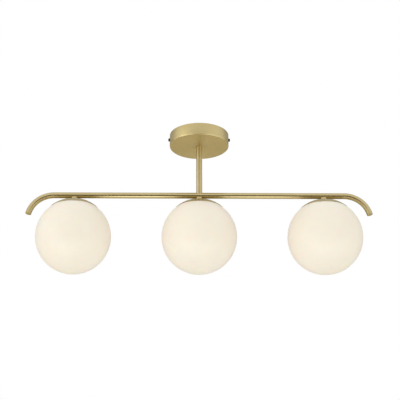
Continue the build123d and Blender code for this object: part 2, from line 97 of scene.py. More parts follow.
# Tube, its bends, its plugs, and the bosses brazed on it
TUBE_WALL = 1.0 * MM
BEND_ANGLE = radians(76.0)
BEND_RADIUS = 52.0 * MM
BEND_OFFSET = 40.5 * MM
BEND_START = LAMP_X["right"] + BEND_OFFSET
PLUG_RIM = 1.2 * MM
PLUG_SHANK = 3.0 * MM
PLUG_CLEARANCE = 0.15 * MM
PLUG_EDGE = 0.4 * MM
BRAZE_GAP = 0.05 * MM
BOSS_EDGE = 0.5 * MM
BOSS_BORE = 5.05 * MM
PIPE_HOLE = 5.2 * MM

# Dish caps: thinner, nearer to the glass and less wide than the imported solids, as they look on the light
CAP_SHEET = 0.8 * MM
CAP_GAP = 0.2 * MM
CAP_RIM_RADIUS = 48.5 * MM
CAP_SEAT_RADIUS = 9.0 * MM
CAP_REACH = GLOBE_RADIUS + CAP_GAP + CAP_SHEET
CAP_RIM_HEIGHT = sqrt(CAP_REACH**2 - CAP_RIM_RADIUS**2)

# Globes, and the thread on the ring of each gallery
GLASS_WALL = 3.0 * MM
GLASS_EDGE = 0.7 * MM
MOUTH_BORE = 30.0 * MM
COLLAR_DEPTH = 12.0 * MM
GALLERY_RING_RADIUS = 29.7 * MM
GALLERY_THREAD_RISE = 0.25 * MM
GALLERY_THREAD_BEAD = 0.6 * MM
GALLERY_THREAD_PITCH = 4.0 * MM
GALLERY_THREAD_TURNS = 2
GALLERY_THREAD_START = 1.5 * MM

# Bulb base: shell with its rolled thread, glass insulator and solder, tip upwards
BASE_SHOULDER = 4.0 * MM
BASE_TAPER = 4.0 * MM
BASE_EDGE = 0.5 * MM
BASE_THREAD_DEPTH = 0.8 * MM
BASE_THREAD_PITCH = 2.82 * MM
BASE_THREAD_TURNS = 5
BASE_THREAD_START = 1.0 * MM
INSULATOR_TAPER = 0.45
INSULATOR_EDGE = 0.4 * MM
SOLDER_RADIUS = 2.4 * MM
SOLDER_HEIGHT = 1.4 * MM
SOLDER_PROUD = 0.8 * MM
SOLDER_EDGE = 0.6 * MM

# How meshes are worked: what counts as one place, what is welded or closed, how far a cutter reaches, how
# finely a thread is wound, and which edges look smooth
NEAR = 0.01 * MM
WELD = 0.001 * MM
SLIVER = 0.005 * MM
CUTTER_PAST = 1.0 * MM
WALL_CUTTER_REACH = 5.0 * MM
SEAT_CUTTER_REACH = 20.0 * MM
THREAD_SIDES = 12
THREAD_STEPS = 48
SMOOTH_UNDER = radians(35)

# The camera stands below the light and looks up at it, with the frame 400 pixels wide
CAMERA_DISTANCE = 2.5
CAMERA_HEIGHT = -1.2165
CAMERA_SIDE = 0.0015
CAMERA_PITCH = 0.4055
CAMERA_YAW = -0.013
CAMERA_ROLL = -0.002
FOCAL_PIXELS = 1356.5
IMAGE_WIDTH = 400
SENSOR = 36.0

# Surroundings
FILL_STRENGTH = 0.98
FLOOR_SIZE = 60
FLOOR_Z = -4.5

# Sockets of the mix node when it mixes colours: the two that go in, and what comes out
MIX_FIRST = 6
MIX_SECOND = 7
MIX_COLOUR = 2


def colour(code):
    """Turn an sRGB hex colour into the linear colour that shaders take."""
    parts = [int(code[i:i + 2], 16) / 255 for i in (1, 3, 5)]
    linear = [c / 12.92 if c <= 0.04045 else ((c + 0.055) / 1.055) ** 2.4 for c in parts]
    return (*linear, 1.0)


def add_node(tree, kind, *values, inputs=None, **settings):
    """Add a shader node with its settings, and set or link its inputs, in their order or by name."""
    made = tree.nodes.new(f"ShaderNode{kind}")
    for name, value in settings.items():
        setattr(made, name, value)
    for name, value in (*enumerate(values), *(inputs or {}).items()):
        socket = made.inputs[name]
        if isinstance(value, bpy.types.NodeSocket):
            tree.links.new(value, socket)
        else:
            socket.default_value = value
    return made


def new_material(name):
    """Start a material with only a surface shader and its output."""
    made = bpy.data.materials.new(name)
    made.use_nodes = True
    tree = made.node_tree
    tree.nodes.clear()
    shader = add_node(tree, "BsdfPrincipled")
    add_node(tree, "OutputMaterial", inputs={"Surface": shader.outputs["BSDF"]})
    return made, tree, shader


def set_inputs(shader, **values):
    """Set plain values on a shader's own sockets."""
    for name, value in values.items():
        shader.inputs[name.replace("_", " ")].default_value = value


def lines_round_axis(tree, place):
    """Lay brushed lines in rings round the upright axis, and find the direction across them."""
    apart = add_node(tree, "SeparateXYZ", place)
    flat = add_node(tree, "VectorMath", place, (1.0, 1.0, 0.0), operation="MULTIPLY").outputs[0]
    radius = add_node(tree, "VectorMath", flat, operation="LENGTH").outputs["Value"]
    lines = add_node(tree, "CombineXYZ", radius, apart.outputs["Z"]).outputs[0]
    around = add_node(tree, "VectorMath", (0.0, 0.0, 1.0), flat, operation="CROSS_PRODUCT").outputs[0]
    normal = add_node(tree, "NewGeometry").outputs["Normal"]
    across = add_node(tree, "VectorMath", around, normal, operation="CROSS_PRODUCT").outputs[0]
    return lines, across


def lines_round_tube(tree, place):
    """Lay brushed lines in rings round the bent tube, and find the direction across them.

    A ring's place is its length along the tube from the middle: the straight part, and then the bend.
    The direction across it is at a right angle to the line from the bend's centre.
    """
    apart = add_node(tree, "SeparateXYZ", place)
    side = add_node(tree, "Math", apart.outputs["X"], operation="SIGN").outputs[0]
    out = add_node(tree, "Math", apart.outputs["X"], operation="ABSOLUTE").outputs[0]
    over = add_node(tree, "Math", out, BEND_START, operation="SUBTRACT").outputs[0]
    past = add_node(tree, "Math", over, 0.0, operation="MAXIMUM").outputs[0]
    bend_z = BAR_Z - BEND_RADIUS
    height = add_node(tree, "Math", apart.outputs["Z"], bend_z, operation="SUBTRACT").outputs[0]
    angle = add_node(tree, "Math", past, height, operation="ARCTAN2").outputs[0]
    turned = add_node(tree, "Math", angle, BEND_RADIUS, operation="MULTIPLY").outputs[0]
    straight = add_node(tree, "Math", out, BEND_START, operation="MINIMUM").outputs[0]
    length = add_node(tree, "Math", straight, turned, operation="ADD").outputs[0]
    along = add_node(tree, "Math", length, side, operation="MULTIPLY").outputs[0]
    lines = add_node(tree, "CombineXYZ", along).outputs[0]
    sideways = add_node(tree, "Math", past, side, operation="MULTIPLY").outputs[0]
    down = add_node(tree, "Math", sideways, -1.0, operation="MULTIPLY").outputs[0]
    across = add_node(tree, "CombineXYZ", height, 0.0, down).outputs[0]
    return lines, across


def brushed_metal(
    name, base, dark, roughness, stretch, grain, coat, centre_x=0.0, bent=False, worn_edge=None
):
    """Brushed metal: fine parallel lines break up the gloss, and the tone drifts a little.

    The lines run round the piece, as a mop, wheel or lathe tool leaves them, and stretch the highlights
    across them: round the upright axis at centre_x, or round the bent tube. Real lines are about 0.1 mm
    apart; these are drawn 0.4 mm and 2.5 mm apart, coarse enough to show. The coat is lacquer. A
    worn_edge is the radius and height of a turned edge that handling has polished a little.
    """
    fine_line = 0.4 * MM
    coarse_line = 2.5 * MM
    drift_size = 45 * MM
    relief = 0.02 * MM
    relief_strength = 0.12 * grain
    tone_low = 0.3 * (1 + grain)
    tone_high = 0.7 * (1 + grain)
    gloss_spread = 0.06 * grain
    worn_from = 3.0 * MM
    worn_whole = 1.0 * MM
    worn_gloss = -0.25
    made, tree, shader = new_material(name)
    place = add_node(tree, "TexCoord").outputs["Object"]
    centred = add_node(tree, "VectorMath", place, (centre_x, 0.0, 0.0), operation="SUBTRACT").outputs[0]
    lines, across = lines_round_tube(tree, centred) if bent else lines_round_axis(tree, centred)
    tangent = add_node(tree, "VectorMath", across, operation="NORMALIZE").outputs[0]
    tree.links.new(tangent, shader.inputs["Tangent"])
    fine = add_node(
        tree, "TexNoise", inputs={"Vector": lines, "Scale": 1.0 / fine_line, "Detail": 2.0}
    ).outputs["Fac"]
    streaks = add_node(
        tree, "TexNoise", inputs={"Vector": lines, "Scale": 1.0 / coarse_line, "Detail": 3.0}
    ).outputs["Fac"]
    cloud = add_node(
        tree, "TexNoise", inputs={"Vector": place, "Scale": 1.0 / drift_size, "Detail": 2.0}
    ).outputs["Fac"]
    drift = add_node(tree, "Math", streaks, grain, cloud, operation="MULTIPLY_ADD").outputs[0]
    tone = add_node(
        tree, "MapRange", inputs={"Value": drift, "From Min": tone_low, "From Max": tone_high}
    ).outputs[0]
    mixed = add_node(
        tree, "Mix", inputs={"Factor": tone, MIX_FIRST: colour(base), MIX_SECOND: colour(dark)},
        data_type="RGBA",
    ).outputs[MIX_COLOUR]
    tree.links.new(mixed, shader.inputs["Base Color"])
    gloss = add_node(
        tree, "MapRange",
        inputs={"Value": streaks, "To Min": roughness - gloss_spread, "To Max": roughness + gloss_spread},
    ).outputs[0]
    if worn_edge:
        away = add_node(
            tree, "VectorMath", lines, (*worn_edge, 0.0), operation="DISTANCE"
        ).outputs["Value"]
        worn = add_node(
            tree, "MapRange", inputs={"Value": away, "From Min": worn_from, "From Max": worn_whole}
        ).outputs[0]
        gloss = add_node(tree, "Math", worn, worn_gloss, gloss, operation="MULTIPLY_ADD").outputs[0]
    tree.links.new(gloss, shader.inputs["Roughness"])
    bump = add_node(
        tree, "Bump", inputs={"Height": fine, "Strength": relief_strength, "Distance": relief}
    ).outputs[0]
    tree.links.new(bump, shader.inputs["Normal"])
    set_inputs(shader, Metallic=1.0, Anisotropic=stretch, Coat_Weight=coat, Coat_Roughness=0.3)
    return made


def mottled(name, base, other, size_mm, roughness, metallic=0.0, bump=0.0, grain_mm=0.4, **settings):
    """A material whose colour drifts between two tones, with a fine grain in its gloss and surface.

    The grain is drawn coarser than the real one, which is too fine to show.
    """
    relief = 0.05 * MM
    tone_low = 0.35
    tone_high = 0.65
    gloss_spread = 0.06
    made, tree, shader = new_material(name)
    place = add_node(tree, "TexCoord").outputs["Object"]
    patches = add_node(
        tree, "TexNoise", inputs={"Vector": place, "Scale": 1.0 / (size_mm * MM), "Detail": 4.0}
    ).outputs["Fac"]
    tone = add_node(
        tree, "MapRange", inputs={"Value": patches, "From Min": tone_low, "From Max": tone_high}
    ).outputs[0]
    mixed = add_node(
        tree, "Mix", inputs={"Factor": tone, MIX_FIRST: colour(base), MIX_SECOND: colour(other)},
        data_type="RGBA",
    ).outputs[MIX_COLOUR]
    tree.links.new(mixed, shader.inputs["Base Color"])
    grain = add_node(
        tree, "TexNoise", inputs={"Vector": place, "Scale": 1.0 / (grain_mm * MM), "Detail": 2.0}
    ).outputs["Fac"]
    gloss = add_node(
        tree, "MapRange",
        inputs={"Value": grain, "To Min": roughness - gloss_spread, "To Max": roughness + gloss_spread},
    ).outputs[0]
    tree.links.new(gloss, shader.inputs["Roughness"])
    if bump:
        raised = add_node(
            tree, "Bump", inputs={"Height": grain, "Strength": bump, "Distance": relief}
        ).outputs[0]
        tree.links.new(raised, shader.inputs["Normal"])
    set_inputs(shader, Metallic=metallic, **settings)
    return made


# Satin brass: brass, brushed and lacquered, so it is pale gold with soft, stretched highlights
SATIN_BRASS = {"base": "#C8B785", "dark": "#BEAC79", "coat": 0.45}
# Painted light: the canopy is the same brass as the tube and caps, but its two colours are painted a shade
# paler to brighten it where its rougher gloss renders darker
brass_canopy = brushed_metal(
    "satin_brass_canopy_painted_paler", base="#CEBD87", dark="#C4B27C", roughness=0.5, stretch=0.4, grain=1.0,
    coat=0.5, worn_edge=(CANOPY_RADIUS, CANOPY_BOTTOM),
)
brass_caps = {
    side: brushed_metal(
        f"satin_brass_spun_cap_{side}", roughness=0.34, stretch=0.6, grain=1.0, centre_x=LAMP_X[side],
        worn_edge=(CAP_RIM_RADIUS, GLOBE_Z + CAP_RIM_HEIGHT), **SATIN_BRASS,
    )
    for side in SIDES
}
brass_tube = brushed_metal(
    "satin_brass_brushed_tube", roughness=0.24, stretch=0.85, grain=0.25, bent=True, **SATIN_BRASS
)
brass_stem = brushed_metal(
    "satin_brass_brushed_stem", roughness=0.34, stretch=0.9, grain=0.25, **SATIN_BRASS
)

# Turned aluminium: bright, cool grey, with the fine rings of the lathe tool
turned_aluminium = {
    side: brushed_metal(
        f"turned_aluminium_{side}", base="#BCBDBF", dark="#B0B1B4", roughness=0.32, stretch=0.6,
        grain=0.8, coat=0.0, centre_x=LAMP_X[side],
    )
    for side in SIDES
}

# Opal glass: clear glass over a milk-white layer, satin outside, so it glows softly and shows no hard gloss
opal_glass = mottled(
    "opal_glass_blown", "#FAEBDB", "#F8E9D8", size_mm=70, roughness=0.4, grain_mm=3.0, bump=0.02,
    Subsurface_Weight=0.25, Subsurface_Scale=0.01, Specular_IOR_Level=0.3,
)

# Opal polycarbonate: the moulded dome of the bulb, white and satin
bulb_glass = mottled("opal_plastic_dome", "#F2EFE8", "#EDEAE2", size_mm=30, roughness=0.35, grain_mm=1.0)

# Pressed black glass: dark all through, and shiny
black_glass = mottled("pressed_black_glass", "#16130F", "#1C1915", size_mm=4, roughness=0.16)

# Blackened steel: dark oxide that shows a little bare metal sheen
black_steel = mottled(
    "blackened_steel", "#221F1C", "#2C2926", size_mm=4, roughness=0.38, metallic=0.8, bump=0.2, grain_mm=0.3
)

# Zinc plate: bright grey with cloudy spangle
zinc_steel = mottled(
    "zinc_plated_steel", "#A9ABAC", "#B9BBBD", size_mm=6, roughness=0.36, metallic=1.0, bump=0.1
)

# Turned brass, bare: warmer and brighter than the lacquered outside
plain_brass = mottled("turned_brass", "#C9A75A", "#BE9A4E", size_mm=5, roughness=0.3, metallic=1.0, bump=0.1)

# Nickel plate: a smooth, slightly warm grey mirror
nickel_base = mottled(
    "nickel_plated_shell", "#B9B8B4", "#AFAEAA", size_mm=5, roughness=0.25, metallic=1.0, bump=0.05
)

# Tin solder: a small bright bead with a frosted skin
tin_solder = mottled("tin_solder", "#C2C1BE", "#B2B1AD", size_mm=2, roughness=0.3, metallic=1.0, bump=0.2)

# Phenolic: hard black moulding with a dull, slightly orange-peel skin
black_phenolic = mottled(
    "black_phenolic", "#1B1A19", "#201F1D", size_mm=10, roughness=0.4, bump=0.15, grain_mm=0.6
)

# Polyamide: ivory moulding, smooth and a little waxy
ivory_polyamide = mottled(
    "ivory_polyamide", "#DCD4BE", "#D7CEB6", size_mm=10, roughness=0.42, bump=0.1, grain_mm=0.5
)

# Silicone and rubber: soft, dull and even
wire_sleeving = mottled(
    "silicone_sleeving", "#D9D6CF", "#D2CFC7", size_mm=6, roughness=0.45, bump=0.1, grain_mm=0.5
)
white_silicone = mottled(
    "white_silicone", "#DEDEDA", "#D8D8D3", size_mm=8, roughness=0.55, bump=0.1, grain_mm=0.5
)
black_rubber = mottled(
    "black_rubber", "#191817", "#1E1D1C", size_mm=8, roughness=0.6, bump=0.2, grain_mm=0.5
)


def choose(piece):
    """Select one object alone and make it the active one."""
    bpy.ops.object.select_all(action="DESELECT")
    piece.select_set(True)
    bpy.context.view_layer.objects.active = piece


def fix_place(piece):
    """Put an object's place, turn and size into its mesh."""
    choose(piece)
    bpy.ops.object.transform_apply(location=True, rotation=True, scale=True)


def edit(piece, mode="EDGE"):
    """Open a piece in edit mode with nothing selected."""
    choose(piece)
    bpy.ops.object.mode_set(mode="EDIT")
    bpy.ops.mesh.select_mode(type=mode)
    bpy.ops.mesh.select_all(action="DESELECT")


def done():
    """Leave edit mode."""
    bpy.ops.object.mode_set(mode="OBJECT")


def pick(piece, kind, test):
    """Select only the edges or faces that pass a test, with edit mode left open.

    The test takes an edge's two ends, or a face's middle, in the shared frame.
    """
    bpy.ops.mesh.select_all(action="DESELECT")
    bpy.ops.object.mode_set(mode="OBJECT")
    mesh = piece.data
    place = piece.matrix_world
    if kind == "FACE":
        for face in mesh.polygons:
            face.select = bool(test(place @ face.center))
    else:
        for edge in mesh.edges:
            ends = [place @ mesh.vertices[i].co for i in edge.vertices]
            edge.select = bool(test(*ends))
    bpy.ops.object.mode_set(mode="EDIT")
    bpy.ops.mesh.select_mode(type=kind)


def apply(piece, kind, **settings):
    """Add a modifier with its settings and apply it."""
    choose(piece)
    modifier = piece.modifiers.new(kind.lower(), kind)
    for name, value in settings.items():
        setattr(modifier, name, value)
    bpy.ops.object.modifier_apply(modifier=modifier.name)


def thicken(piece, wall):
    """Give a shape its wall, on the inside."""
    apply(piece, "SOLIDIFY", thickness=wall, offset=-1.0, use_even_offset=True)


def soften(piece, width, segments=3, angle=50):
    """Round the edges of a piece that turn by more than an angle in degrees."""
    apply(
        piece, "BEVEL", width=width, segments=segments, limit_method="ANGLE", angle_limit=radians(angle)
    )


def close_slivers(piece):
    """Close edges and faces that have next to no size."""
    edit(piece)
    bpy.ops.mesh.select_all(action="SELECT")
    bpy.ops.mesh.dissolve_degenerate(threshold=SLIVER)
    done()


def cut_with(piece, cutter):
    """Take a cutter's space out of a piece, and delete the cutter."""
    apply(piece, "BOOLEAN", operation="DIFFERENCE", solver="EXACT", object=cutter)
    bpy.data.objects.remove(cutter)
    close_slivers(piece)


def rod(radius, start, end, sides=64):
    """Add a plain round rod between two points, as a cutter or a first shape."""
    way = Vector(end) - Vector(start)
    bpy.ops.object.select_all(action="DESELECT")
    bpy.ops.mesh.primitive_cylinder_add(
        vertices=sides,
        radius=radius,
        depth=way.length,
        location=(Vector(start) + Vector(end)) / 2,
        rotation=way.to_track_quat("Z", "Y").to_euler(),
    )
    return bpy.context.active_object


def cut_tube_seat(piece):
    """Cut a piece to the round of the tube that it is brazed on."""
    ends = [(reach, 0, BAR_Z) for reach in (-SEAT_CUTTER_REACH, SEAT_CUTTER_REACH)]
    cut_with(piece, rod(TUBE_RADIUS + BRAZE_GAP, *ends, sides=96))


def shifted_copy(piece, shift):
    """Copy a mesh with its own data and move its points."""
    twin = piece.copy()
    twin.data = piece.data.copy()
    bpy.context.scene.collection.objects.link(twin)
    twin.data.transform(Matrix.Translation(shift))
    return twin


def finish_piece(piece, name, body, slot, material, *nodes):
    """Name a finished mesh, put its place in its points, give it its finish and fix it to its body."""
    piece.name = name
    piece.data.name = name
    fix_place(piece)
    piece.data.materials.clear()
    piece.data.materials.append(material)
    bpy.ops.object.shade_smooth_by_angle(angle=SMOOTH_UNDER)
    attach(piece, body)
    if nodes:
        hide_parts(*nodes)


def draw_canopy():
    """Shape the canopy: a drawn pan with a soft lower edge, open at the ceiling, with two screw holes."""
    pan = rod(CANOPY_RADIUS, (0, 0, CANOPY_BOTTOM), (0, 0, CANOPY_TOP), sides=160)
    edit(pan, "FACE")
    pick(pan, "FACE", lambda middle: middle.z > CANOPY_TOP - NEAR)
    bpy.ops.mesh.delete(type="FACE")
    pick(pan, "FACE", lambda middle: middle.z < CANOPY_BOTTOM + NEAR)
    half = CANOPY_RADIUS / 2
    bpy.ops.mesh.inset(thickness=half)
    bpy.ops.mesh.inset(thickness=half - PIPE_HOLE)
    bpy.ops.mesh.delete(type="FACE")
    done()
    soften(pan, CANOPY_EDGE, segments=6)
    thicken(pan, CANOPY_SHEET)
    soften(pan, SHEET_EDGE, segments=2, angle=60)
    for sign in (-1, 1):
        start = (sign * (CANOPY_RADIUS - WALL_CUTTER_REACH), 0, CLAMP_Z)
        end = (sign * (CANOPY_RADIUS + WALL_CUTTER_REACH), 0, CLAMP_Z)
        cut_with(pan, rod(CLAMP_SHANK + CLAMP_CLEARANCE, start, end, sides=32))
    return pan


def head_screw(side):
    """Shape a side screw: a domed head with a hexagon socket, and a plain shank."""
    sign = -1 if side == "left" else 1
    low, high, _ = span(f"clamp_screw_{side}")
    outer = high.x if sign > 0 else low.x
    tip = low.x if sign > 0 else high.x
    seat = outer - sign * CLAMP_HEAD
    head = rod(CLAMP_HEAD_RADIUS, (seat, 0, CLAMP_Z), (outer, 0, CLAMP_Z), sides=48)
    edit(head)
    pick(head, "EDGE", lambda a, b: max(abs(a.x - outer), abs(b.x - outer)) < NEAR)
    bpy.ops.mesh.bevel(offset=CLAMP_DOME, segments=6)
    pick(head, "FACE", lambda middle: abs(middle.x - seat) < NEAR)
    bpy.ops.mesh.inset(thickness=CLAMP_HEAD_RADIUS - CLAMP_SHANK)
    bpy.ops.mesh.extrude_region_move(TRANSFORM_OT_translate={"value": (tip - seat, 0, 0)})
    done()
    soften(head, CLAMP_EDGE, segments=4)
    bottom = (outer - sign * SOCKET_DEPTH, 0, CLAMP_Z)
    mouth = (outer + sign * CUTTER_PAST, 0, CLAMP_Z)
    cut_with(head, rod(SOCKET_RADIUS, bottom, mouth, sides=6))
    return head


def saw_stem():
    """Shape the stem: a tube whose lower end is cut to sit on the bar."""
    stem = rod(TUBE_RADIUS, (0, 0, BAR_Z), (0, 0, STEM_TOP))
    edit(stem, "FACE")
    pick(stem, "FACE", lambda middle: middle.z < BAR_Z + NEAR or middle.z > STEM_TOP - NEAR)
    bpy.ops.mesh.delete(type="ONLY_FACE")
    done()
    thicken(stem, TUBE_WALL)
    cut_tube_seat(stem)
    return stem


def bend_tube():
    """Shape the tube: a ring drawn out straight, with both ends spun down round their bend centres."""
    bpy.ops.object.select_all(action="DESELECT")
    bpy.ops.mesh.primitive_circle_add(
        vertices=64, radius=TUBE_RADIUS, location=(-BEND_START, 0, BAR_Z), rotation=(0, pi / 2, 0)
    )
    tube = bpy.context.active_object
    fix_place(tube)
    edit(tube)
    bpy.ops.mesh.select_all(action="SELECT")
    lengths = 24
    for _ in range(lengths):
        bpy.ops.mesh.extrude_edges_move(
            TRANSFORM_OT_translate={"value": (2 * BEND_START / lengths, 0, 0)}
        )
    bend_z = BAR_Z - BEND_RADIUS
    bpy.ops.mesh.spin(steps=32, angle=-BEND_ANGLE, center=(BEND_START, 0, bend_z), axis=(0, 1, 0))
    pick(tube, "EDGE", lambda a, b: max(a.x, b.x) < -BEND_START + NEAR)
    bpy.ops.mesh.spin(steps=32, angle=BEND_ANGLE, center=(-BEND_START, 0, bend_z), axis=(0, 1, 0))
    bpy.ops.mesh.select_all(action="SELECT")
    bpy.ops.mesh.remove_doubles(threshold=WELD)
    bpy.ops.mesh.normals_make_consistent(inside=False)
    done()
    thicken(tube, TUBE_WALL)
    return tube


def cap_tube_end(side):
    """Shape a plug that closes the tube: a thin rim with a softened edge and a shank in the bore."""
    sign = -1 if side == "left" else 1
    heading = Vector((sign * cos(BEND_ANGLE), 0, -sin(BEND_ANGLE)))
    end_x = sign * (BEND_START + BEND_RADIUS * sin(BEND_ANGLE))
    end = Vector((end_x, 0, BAR_Z - BEND_RADIUS * (1 - cos(BEND_ANGLE))))
    plug = rod(TUBE_RADIUS, end, end + heading * PLUG_RIM)
    edit(plug, "FACE")
    pick(plug, "FACE", lambda middle: (middle - end).length < NEAR)
    bpy.ops.mesh.inset(thickness=TUBE_WALL + PLUG_CLEARANCE)
    bpy.ops.mesh.extrude_region_move(TRANSFORM_OT_translate={"value": -heading * PLUG_SHANK})
    done()
    soften(plug, PLUG_EDGE, segments=4)
    return plug


def blow_globe():
    """Shape one globe at the middle lamp: a ball cut flat at its mouth, with a collar turned inwards."""
    bpy.ops.object.select_all(action="DESELECT")
    bpy.ops.mesh.primitive_uv_sphere_add(
        segments=96, ring_count=64, radius=GLOBE_RADIUS, location=(0, 0, GLOBE_Z)
    )
    glass = bpy.context.active_object
    edit(glass)
    bpy.ops.mesh.select_all(action="SELECT")
    bpy.ops.mesh.bisect(plane_co=(0, 0, MOUTH_Z), plane_no=(0, 0, 1), clear_outer=True)
    pick(glass, "EDGE", lambda a, b: min(a.z, b.z) > MOUTH_Z - NEAR)
    bpy.ops.mesh.extrude_edges_move()
    shrink = MOUTH_BORE / sqrt(GLOBE_RADIUS**2 - (MOUTH_Z - GLOBE_Z) ** 2)
    bpy.ops.transform.resize(value=(shrink, shrink, 1), center_override=(0, 0, MOUTH_Z))
    bpy.ops.mesh.extrude_edges_move(TRANSFORM_OT_translate={"value": (0, 0, -COLLAR_DEPTH)})
    done()
    thicken(glass, GLASS_WALL)
    soften(glass, GLASS_EDGE)
    return glass


def spin_cap():
    """Shape one dish cap at the middle lamp: a thin bowl over the globe, flat where the boss sits.

    The bowl is a little more curved than the globe, so it stands clear at the seat and all but touches
    the glass at its rim.
    """
    seat = CAP_TOP - GLOBE_Z
    lift = (seat**2 + CAP_SEAT_RADIUS**2 - CAP_REACH**2) / (2 * (seat - CAP_RIM_HEIGHT))
    bowl = sqrt((seat - lift) ** 2 + CAP_SEAT_RADIUS**2)
    bpy.ops.object.select_all(action="DESELECT")
    bpy.ops.mesh.primitive_uv_sphere_add(
        segments=96, ring_count=96, radius=bowl, location=(0, 0, GLOBE_Z + lift)
    )
    cap = bpy.context.active_object
    edit(cap)
    for cut_z, removed in ((GLOBE_Z + CAP_RIM_HEIGHT, -1), (CAP_TOP, 1)):
        bpy.ops.mesh.select_all(action="SELECT")
        bpy.ops.mesh.bisect(plane_co=(0, 0, cut_z), plane_no=(0, 0, removed), clear_outer=True)
    pick(cap, "EDGE", lambda a, b: min(a.z, b.z) > CAP_TOP - NEAR)
    bpy.ops.mesh.extrude_edges_move()
    shrink = PIPE_HOLE / CAP_SEAT_RADIUS
    bpy.ops.transform.resize(value=(shrink, shrink, 1), center_override=(0, 0, CAP_TOP))
    done()
    thicken(cap, CAP_SHEET)
    soften(cap, SHEET_EDGE)
    return cap


def turn_boss():
    """Shape one boss at the middle lamp, bored for the pipe and cut to the tube that it is brazed on."""
    boss = rod(BOSS_RADIUS, (0, 0, BOSS_BOTTOM), (0, 0, BOSS_TOP))
    soften(boss, BOSS_EDGE)
    bore = rod(BOSS_BORE, (0, 0, BOSS_BOTTOM - CUTTER_PAST), (0, 0, BOSS_TOP + CUTTER_PAST), sides=48)
    cut_with(boss, bore)
    cut_tube_seat(boss)
    return boss


def wind_thread(crest, bead, pitch, turns, start):
    """Wind a round thread at the middle lamp: a bead of metal, half sunk in its shell, with closed ends."""
    bpy.ops.object.select_all(action="DESELECT")
    bpy.ops.mesh.primitive_circle_add(
        vertices=THREAD_SIDES, radius=bead, location=(crest - bead, 0, start), rotation=(pi / 2, 0, 0)
    )
    thread = bpy.context.active_object
    fix_place(thread)
    apply(
        thread, "SCREW", axis="Z", angle=2 * pi, screw_offset=pitch, iterations=turns,
        steps=THREAD_STEPS, render_steps=THREAD_STEPS,
    )
    edit(thread)
    bpy.ops.mesh.select_all(action="SELECT")
    bpy.ops.mesh.remove_doubles(threshold=WELD)
    bpy.ops.mesh.fill_holes(sides=0)
    bpy.ops.mesh.select_all(action="SELECT")
    bpy.ops.mesh.normals_make_consistent(inside=False)
    done()
    return thread


def wind_gallery_thread():
    """Shape the thread that carries one globe, round the ring of the gallery at the middle lamp."""
    return wind_thread(
        GALLERY_RING_RADIUS + GALLERY_THREAD_RISE, GALLERY_THREAD_BEAD, GALLERY_THREAD_PITCH,
        GALLERY_THREAD_TURNS, GALLERY_BOTTOM + GALLERY_THREAD_START,
    )


def roll_bulb_shell():
    """Shape one bulb's screw shell at the middle lamp: a smooth shoulder, then a rolled thread."""
    shoulder = BASE_BOTTOM + BASE_SHOULDER
    shell = rod(BASE_RADIUS, (0, 0, BASE_BOTTOM), (0, 0, shoulder))
    edit(shell, "FACE")
    pick(shell, "FACE", lambda middle: middle.z > shoulder - NEAR)
    bpy.ops.mesh.inset(thickness=BASE_THREAD_DEPTH)
    rise = BASE_TIP - BASE_TAPER - shoulder
    bpy.ops.mesh.extrude_region_move(TRANSFORM_OT_translate={"value": (0, 0, rise)})
    done()
    soften(shell, BASE_EDGE)
    thread = wind_thread(
        BASE_RADIUS, BASE_THREAD_DEPTH, BASE_THREAD_PITCH, BASE_THREAD_TURNS, shoulder + BASE_THREAD_START
    )
    choose(shell)
    thread.select_set(True)
    bpy.ops.object.join()
    close_slivers(shell)
    return shell


def press_insulator():
    """Shape one bulb's black glass insulator at the middle lamp: a cone that carries the middle contact."""
    top = BASE_TIP - SOLDER_PROUD
    cone = rod(BASE_RADIUS - BASE_THREAD_DEPTH, (0, 0, BASE_TIP - BASE_TAPER), (0, 0, top), sides=48)
    edit(cone, "FACE")
    pick(cone, "FACE", lambda middle: middle.z > top - NEAR)
    bpy.ops.transform.resize(value=(INSULATOR_TAPER, INSULATOR_TAPER, 1), center_override=(0, 0, top))
    done()
    soften(cone, INSULATOR_EDGE, angle=35)
    return cone


def drop_solder():
    """Shape the bead of solder at a bulb's tip, at the middle lamp."""
    bead = rod(SOLDER_RADIUS, (0, 0, BASE_TIP - SOLDER_HEIGHT), (0, 0, BASE_TIP), sides=32)
    soften(bead, SOLDER_EDGE, segments=4)
    return bead


def same_on_all(material):
    """Give the pieces of all three lamps one finish."""
    return dict.fromkeys(SIDES, material)


finish_piece(draw_canopy(), "canopy_pan", "fitting", "satin_brass", brass_canopy, "canopy")
finish_piece(bend_tube(), "bar_tube", "fitting", "satin_brass", brass_tube, "bar")
finish_piece(saw_stem(), "stem_tube", "fitting", "satin_brass", brass_stem, "stem")
for side in ("left", "right"):
    finish_piece(
        head_screw(side), f"side_screw_{side}", f"clamp_{side}", "black_steel", black_steel,
        f"clamp_screw_{side}",
    )
    finish_piece(
        cap_tube_end(side), f"tube_plug_{side}", "fitting", "satin_brass", brass_tube, f"end_plug_{side}"
    )

# What each lamp has: how it is shaped, piece, body, slot, finish of each side, and node it replaces
LAMP_PIECES = (
    (blow_globe, "globe_glass", "globe_{}", "opal_glass", same_on_all(opal_glass), "globe"),
    (spin_cap, "dish_cap", "fitting", "satin_brass", brass_caps, "cap"),
    (turn_boss, "turned_boss", "fitting", "satin_brass", brass_caps, "boss"),
    (wind_gallery_thread, "gallery_thread", "fitting", "turned_aluminium", turned_aluminium, None),
    (roll_bulb_shell, "bulb_shell", "bulb_{}", "nickel_base", same_on_all(nickel_base), "bulb_base"),
    (press_insulator, "bulb_insulator", "bulb_{}", "black_plastic", same_on_all(black_glass), None),
    (drop_solder, "bulb_solder", "bulb_{}", "nickel_base", same_on_all(tin_solder), None),
)
for shape, piece_name, body, slot, finish, node in LAMP_PIECES:
    first = shape()
    fix_place(first)
    for side in SIDES:
        piece = shifted_copy(first, Vector((LAMP_X[side], 0, 0)))
        replaced = [f"{node}_{side}"] if node else []
        finish_piece(piece, f"{piece_name}_{side}", body.format(side), slot, finish[side], *replaced)
    bpy.data.objects.remove(first)

